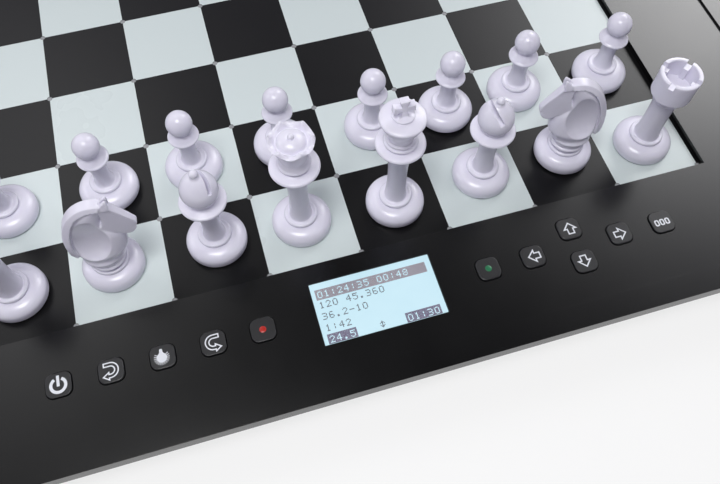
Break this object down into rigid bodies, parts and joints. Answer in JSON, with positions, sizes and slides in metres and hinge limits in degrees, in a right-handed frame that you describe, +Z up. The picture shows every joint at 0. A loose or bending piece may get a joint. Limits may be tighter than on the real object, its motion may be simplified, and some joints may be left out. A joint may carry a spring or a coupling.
{
  "type": "chess computer",
  "caption": "Square electronic chess computer: recessed sensor board with corner lamps, front key row and display, and a full set of turned chess pieces that lift off.",
  "frame": {"origin": "on the table under the centre of the housing and of the playing board", "axes": "+Z up from the table, +Y from the player's edge with the keys towards the far edge, +X to the player's right along the key row"},
  "size_m": [0.438, 0.438, 0.093],
  "materials": {
    "housing": "fine-grained satin black moulding",
    "playing_surface": "satin printed squares, pale grey-white and black",
    "lamp_window": "clear grey light guides",
    "pressure_film": "thin dark film",
    "circuit_board": "green solder mask",
    "led": "small pale lamps",
    "dark_part": "black moulded parts",
    "display": "lit pale blue display",
    "display_window": "clear polished window",
    "ribbon": "flat grey cable",
    "screw": "zinc-plated steel",
    "rubber": "matte black rubber",
    "key": "satin black with printed signs",
    "white_piece": "glossy white moulding with a cool tint",
    "black_piece": "glossy black moulding"
  },
  "bodies": {
    "computer": {"top_housing": "housing", "bottom_housing": "housing", "playing_surface": "playing_surface", "lamp_windows": "lamp_window", "pressure_sheet": "pressure_film", "sensor_board": "circuit_board", "corner_leds": "led", "main_board": "circuit_board", "board_chips": "dark_part", "key_switches": "dark_part", "display_module": "display", "display_window": "display_window", "ribbon_cable": "ribbon", "sounder": "dark_part", "power_inlet": "dark_part", "housing_screws": "screw", "rubber_feet": "rubber"},
    "power_key": {"power_key": "key"},
    "back_key": {"back_key": "key"},
    "hint_key": {"hint_key": "key"},
    "forward_key": {"forward_key": "key"},
    "red_key": {"red_key": "key"},
    "green_key": {"green_key": "key"},
    "left_key": {"left_key": "key"},
    "up_key": {"up_key": "key"},
    "down_key": {"down_key": "key"},
    "right_key": {"right_key": "key"},
    "new_game_key": {"new_game_key": "key"},
    "white_rook_a": {"white_rook_a": "white_piece"},
    "white_knight_b": {"white_knight_b": "white_piece"},
    "white_bishop_c": {"white_bishop_c": "white_piece"},
    "white_queen": {"white_queen": "white_piece"},
    "white_king": {"white_king": "white_piece"},
    "white_bishop_f": {"white_bishop_f": "white_piece"},
    "white_knight_g": {"white_knight_g": "white_piece"},
    "white_rook_h": {"white_rook_h": "white_piece"},
    "white_pawn_a": {"white_pawn_a": "white_piece"},
    "white_pawn_b": {"white_pawn_b": "white_piece"},
    "white_pawn_c": {"white_pawn_c": "white_piece"},
    "white_pawn_d": {"white_pawn_d": "white_piece"},
    "white_pawn_e": {"white_pawn_e": "white_piece"},
    "white_pawn_f": {"white_pawn_f": "white_piece"},
    "white_pawn_g": {"white_pawn_g": "white_piece"},
    "white_pawn_h": {"white_pawn_h": "white_piece"},
    "black_rook_a": {"black_rook_a": "black_piece"},
    "black_knight_b": {"black_knight_b": "black_piece"},
    "black_bishop_c": {"black_bishop_c": "black_piece"},
    "black_queen": {"black_queen": "black_piece"},
    "black_king": {"black_king": "black_piece"},
    "black_bishop_f": {"black_bishop_f": "black_piece"},
    "black_knight_g": {"black_knight_g": "black_piece"},
    "black_rook_h": {"black_rook_h": "black_piece"},
    "black_pawn_a": {"black_pawn_a": "black_piece"},
    "black_pawn_b": {"black_pawn_b": "black_piece"},
    "black_pawn_c": {"black_pawn_c": "black_piece"},
    "black_pawn_d": {"black_pawn_d": "black_piece"},
    "black_pawn_e": {"black_pawn_e": "black_piece"},
    "black_pawn_f": {"black_pawn_f": "black_piece"},
    "black_pawn_g": {"black_pawn_g": "black_piece"},
    "black_pawn_h": {"black_pawn_h": "black_piece"}
  },
  "joints": [
    {"name": "power_key_press", "type": "slide", "parent": "computer", "child": "power_key", "axis": [0, 0, -1], "range_m": [0, 0.0006], "stiffness_N_per_m": 500, "springref_m": -0.002},
    {"name": "back_key_press", "type": "slide", "parent": "computer", "child": "back_key", "axis": [0, 0, -1], "range_m": [0, 0.0006], "stiffness_N_per_m": 500, "springref_m": -0.002},
    {"name": "hint_key_press", "type": "slide", "parent": "computer", "child": "hint_key", "axis": [0, 0, -1], "range_m": [0, 0.0006], "stiffness_N_per_m": 500, "springref_m": -0.002},
    {"name": "forward_key_press", "type": "slide", "parent": "computer", "child": "forward_key", "axis": [0, 0, -1], "range_m": [0, 0.0006], "stiffness_N_per_m": 500, "springref_m": -0.002},
    {"name": "red_key_press", "type": "slide", "parent": "computer", "child": "red_key", "axis": [0, 0, -1], "range_m": [0, 0.0006], "stiffness_N_per_m": 500, "springref_m": -0.002},
    {"name": "green_key_press", "type": "slide", "parent": "computer", "child": "green_key", "axis": [0, 0, -1], "range_m": [0, 0.0006], "stiffness_N_per_m": 500, "springref_m": -0.002},
    {"name": "left_key_press", "type": "slide", "parent": "computer", "child": "left_key", "axis": [0, 0, -1], "range_m": [0, 0.0006], "stiffness_N_per_m": 500, "springref_m": -0.002},
    {"name": "up_key_press", "type": "slide", "parent": "computer", "child": "up_key", "axis": [0, 0, -1], "range_m": [0, 0.0006], "stiffness_N_per_m": 500, "springref_m": -0.002},
    {"name": "down_key_press", "type": "slide", "parent": "computer", "child": "down_key", "axis": [0, 0, -1], "range_m": [0, 0.0006], "stiffness_N_per_m": 500, "springref_m": -0.002},
    {"name": "right_key_press", "type": "slide", "parent": "computer", "child": "right_key", "axis": [0, 0, -1], "range_m": [0, 0.0006], "stiffness_N_per_m": 500, "springref_m": -0.002},
    {"name": "new_game_key_press", "type": "slide", "parent": "computer", "child": "new_game_key", "axis": [0, 0, -1], "range_m": [0, 0.0006], "stiffness_N_per_m": 500, "springref_m": -0.002},
    {"name": "white_king_lift", "type": "slide", "parent": "computer", "child": "white_king", "axis": [0, 0, 1], "range_m": [0, 0.1]},
    {"name": "white_queen_lift", "type": "slide", "parent": "computer", "child": "white_queen", "axis": [0, 0, 1], "range_m": [0, 0.1]},
    {"name": "white_knight_b_lift", "type": "slide", "parent": "computer", "child": "white_knight_b", "axis": [0, 0, 1], "range_m": [0, 0.1]},
    {"name": "white_bishop_c_lift", "type": "slide", "parent": "computer", "child": "white_bishop_c", "axis": [0, 0, 1], "range_m": [0, 0.1]},
    {"name": "white_rook_h_lift", "type": "slide", "parent": "computer", "child": "white_rook_h", "axis": [0, 0, 1], "range_m": [0, 0.1]},
    {"name": "white_knight_g_lift", "type": "slide", "parent": "computer", "child": "white_knight_g", "axis": [0, 0, 1], "range_m": [0, 0.1]},
    {"name": "white_bishop_f_lift", "type": "slide", "parent": "computer", "child": "white_bishop_f", "axis": [0, 0, 1], "range_m": [0, 0.1]},
    {"name": "white_rook_a_lift", "type": "slide", "parent": "computer", "child": "white_rook_a", "axis": [0, 0, 1], "range_m": [0, 0.1]},
    {"name": "white_pawn_a_lift", "type": "slide", "parent": "computer", "child": "white_pawn_a", "axis": [0, 0, 1], "range_m": [0, 0.1]},
    {"name": "white_pawn_b_lift", "type": "slide", "parent": "computer", "child": "white_pawn_b", "axis": [0, 0, 1], "range_m": [0, 0.1]},
    {"name": "white_pawn_c_lift", "type": "slide", "parent": "computer", "child": "white_pawn_c", "axis": [0, 0, 1], "range_m": [0, 0.1]},
    {"name": "white_pawn_d_lift", "type": "slide", "parent": "computer", "child": "white_pawn_d", "axis": [0, 0, 1], "range_m": [0, 0.1]},
    {"name": "white_pawn_e_lift", "type": "slide", "parent": "computer", "child": "white_pawn_e", "axis": [0, 0, 1], "range_m": [0, 0.1]},
    {"name": "white_pawn_f_lift", "type": "slide", "parent": "computer", "child": "white_pawn_f", "axis": [0, 0, 1], "range_m": [0, 0.1]},
    {"name": "white_pawn_g_lift", "type": "slide", "parent": "computer", "child": "white_pawn_g", "axis": [0, 0, 1], "range_m": [0, 0.1]},
    {"name": "white_pawn_h_lift", "type": "slide", "parent": "computer", "child": "white_pawn_h", "axis": [0, 0, 1], "range_m": [0, 0.1]},
    {"name": "black_king_lift", "type": "slide", "parent": "computer", "child": "black_king", "axis": [0, 0, 1], "range_m": [0, 0.1]},
    {"name": "black_queen_lift", "type": "slide", "parent": "computer", "child": "black_queen", "axis": [0, 0, 1], "range_m": [0, 0.1]},
    {"name": "black_knight_b_lift", "type": "slide", "parent": "computer", "child": "black_knight_b", "axis": [0, 0, 1], "range_m": [0, 0.1]},
    {"name": "black_bishop_c_lift", "type": "slide", "parent": "computer", "child": "black_bishop_c", "axis": [0, 0, 1], "range_m": [0, 0.1]},
    {"name": "black_rook_h_lift", "type": "slide", "parent": "computer", "child": "black_rook_h", "axis": [0, 0, 1], "range_m": [0, 0.1]},
    {"name": "black_knight_g_lift", "type": "slide", "parent": "computer", "child": "black_knight_g", "axis": [0, 0, 1], "range_m": [0, 0.1]},
    {"name": "black_bishop_f_lift", "type": "slide", "parent": "computer", "child": "black_bishop_f", "axis": [0, 0, 1], "range_m": [0, 0.1]},
    {"name": "black_rook_a_lift", "type": "slide", "parent": "computer", "child": "black_rook_a", "axis": [0, 0, 1], "range_m": [0, 0.1]},
    {"name": "black_pawn_a_lift", "type": "slide", "parent": "computer", "child": "black_pawn_a", "axis": [0, 0, 1], "range_m": [0, 0.1]},
    {"name": "black_pawn_b_lift", "type": "slide", "parent": "computer", "child": "black_pawn_b", "axis": [0, 0, 1], "range_m": [0, 0.1]},
    {"name": "black_pawn_c_lift", "type": "slide", "parent": "computer", "child": "black_pawn_c", "axis": [0, 0, 1], "range_m": [0, 0.1]},
    {"name": "black_pawn_d_lift", "type": "slide", "parent": "computer", "child": "black_pawn_d", "axis": [0, 0, 1], "range_m": [0, 0.1]},
    {"name": "black_pawn_e_lift", "type": "slide", "parent": "computer", "child": "black_pawn_e", "axis": [0, 0, 1], "range_m": [0, 0.1]},
    {"name": "black_pawn_f_lift", "type": "slide", "parent": "computer", "child": "black_pawn_f", "axis": [0, 0, 1], "range_m": [0, 0.1]},
    {"name": "black_pawn_g_lift", "type": "slide", "parent": "computer", "child": "black_pawn_g", "axis": [0, 0, 1], "range_m": [0, 0.1]},
    {"name": "black_pawn_h_lift", "type": "slide", "parent": "computer", "child": "black_pawn_h", "axis": [0, 0, 1], "range_m": [0, 0.1]}
  ]
}
